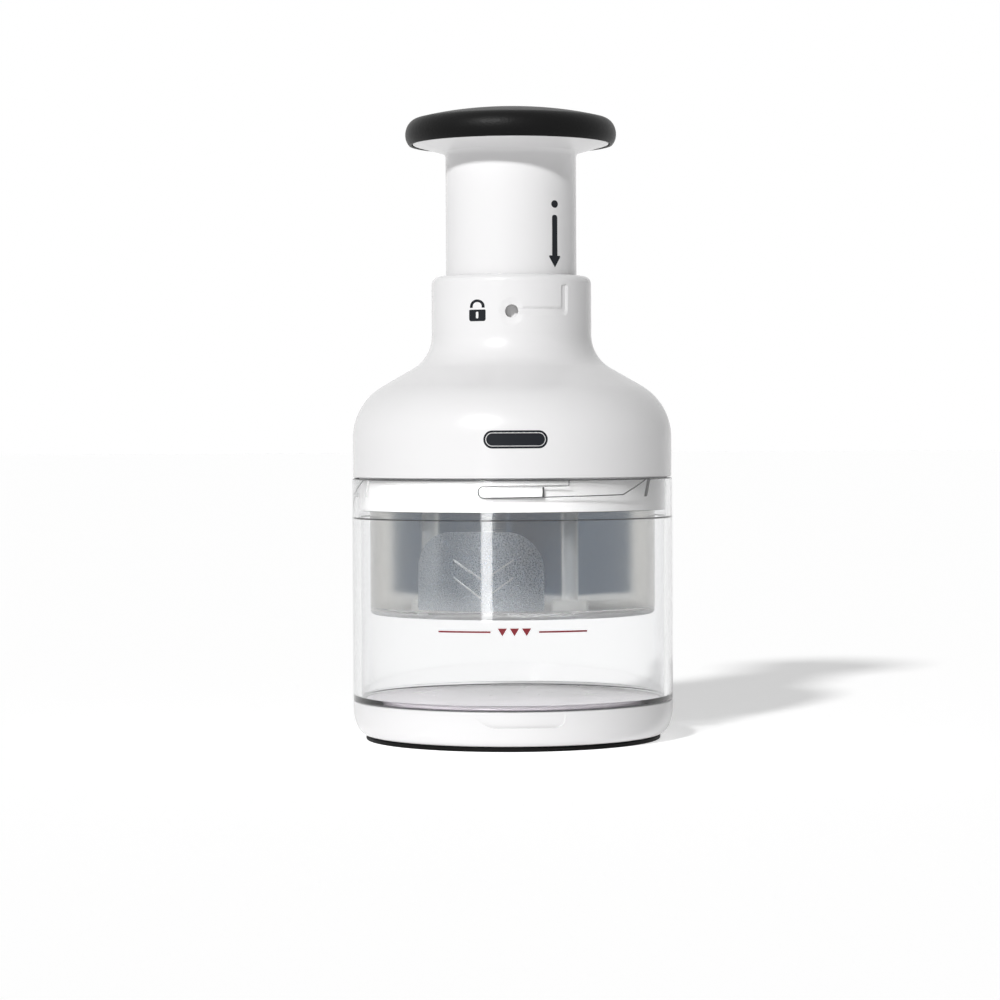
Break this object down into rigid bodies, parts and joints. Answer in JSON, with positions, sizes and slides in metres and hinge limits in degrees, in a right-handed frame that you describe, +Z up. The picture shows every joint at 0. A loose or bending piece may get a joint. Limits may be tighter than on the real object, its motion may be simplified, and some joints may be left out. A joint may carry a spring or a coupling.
{
  "type": "food chopper",
  "caption": "Press-down food chopper: a padded knob on a sprung plunger drives zigzag blades through a turning guard inside a clear cup on a snap-off base.",
  "frame": {"origin": "centre of the foot ring, on the table under the chopper", "axes": "+Z up along the plunger's axis, -Y is the front with the sight hole, +X to its right"},
  "size_m": [0.108, 0.108, 0.2132],
  "materials": {
    "white_plastic": "glossy moulded",
    "inner_plastic": "satin moulded",
    "clear_plastic": "clear polished",
    "frosted_plastic": "frosted translucent",
    "grey_plastic": "glossy moulded",
    "black_rubber": "fine matt grain",
    "steel": "polished"
  },
  "bodies": {
    "base": {"foot_ring": "black_rubber", "base_cap": "white_plastic", "chopping_pad": "grey_plastic"},
    "cup": {"cup": "clear_plastic"},
    "housing": {"housing_shell": "white_plastic", "inner_frame": "white_plastic", "collar_bush": "inner_plastic", "index_ring": "grey_plastic", "bumper_ring": "black_rubber", "frame_screw_1": "steel", "frame_screw_2": "steel", "frame_screw_3": "steel", "return_spring": "steel"},
    "plunger": {"plunger_core": "inner_plastic", "buffer_plug": "inner_plastic", "buffer_spring": "steel"},
    "knob": {"knob_sleeve": "white_plastic", "knob_plate": "inner_plastic", "grip_pad": "black_rubber", "knob_screw_1": "steel", "knob_screw_2": "steel", "knob_screw_3": "steel"},
    "blade_shaft": {"blade_shaft": "steel", "thrust_washer": "steel", "shaft_screw": "steel"},
    "blade_unit": {"blade_carrier": "inner_plastic", "index_rotor": "grey_plastic", "rotor_screw_1": "steel", "rotor_screw_2": "steel", "blade_front": "steel", "blade_rear": "steel"},
    "guard": {"blade_guard": "frosted_plastic"}
  },
  "joints": [
    {"name": "base_snap", "type": "slide", "parent": "base", "child": "cup", "axis": [0, 0, 1], "range_m": [0, 0.012]},
    {"name": "bayonet_turn", "type": "hinge", "parent": "cup", "child": "housing", "pos_m": [0, 0, 0.088], "axis": [0, 0, 1], "range_deg": [0, 43]},
    {"name": "press", "type": "slide", "parent": "housing", "child": "plunger", "axis": [0, 0, -1], "range_m": [0, 0.036], "stiffness_N_per_m": 700, "springref_m": -0.02, "deforming": ["return_spring", "buffer_spring"]},
    {"name": "lock_twist", "type": "hinge", "parent": "plunger", "child": "knob", "pos_m": [0, 0, 0.2], "axis": [0, 0, -1], "range_deg": [0, 42]},
    {"name": "blade_drop", "type": "slide", "parent": "housing", "child": "blade_shaft", "axis": [0, 0, -1], "range_m": [0, 0.0327]},
    {"name": "blade_step", "type": "hinge", "parent": "blade_shaft", "child": "blade_unit", "pos_m": [0, 0, 0.09], "axis": [0, 0, 1], "range_deg": [0, 30]},
    {"name": "guard_step", "type": "hinge", "parent": "housing", "child": "guard", "pos_m": [0, 0, 0.08], "axis": [0, 0, 1], "range_deg": [0, 30]}
  ],
  "couplings": [
    {"joint": "blade_drop", "follows": "press", "ratio": 0.9083},
    {"joint": "blade_step", "follows": "press", "rad_per_m": 14.54},
    {"joint": "guard_step", "follows": "press", "rad_per_m": 14.54}
  ]
}
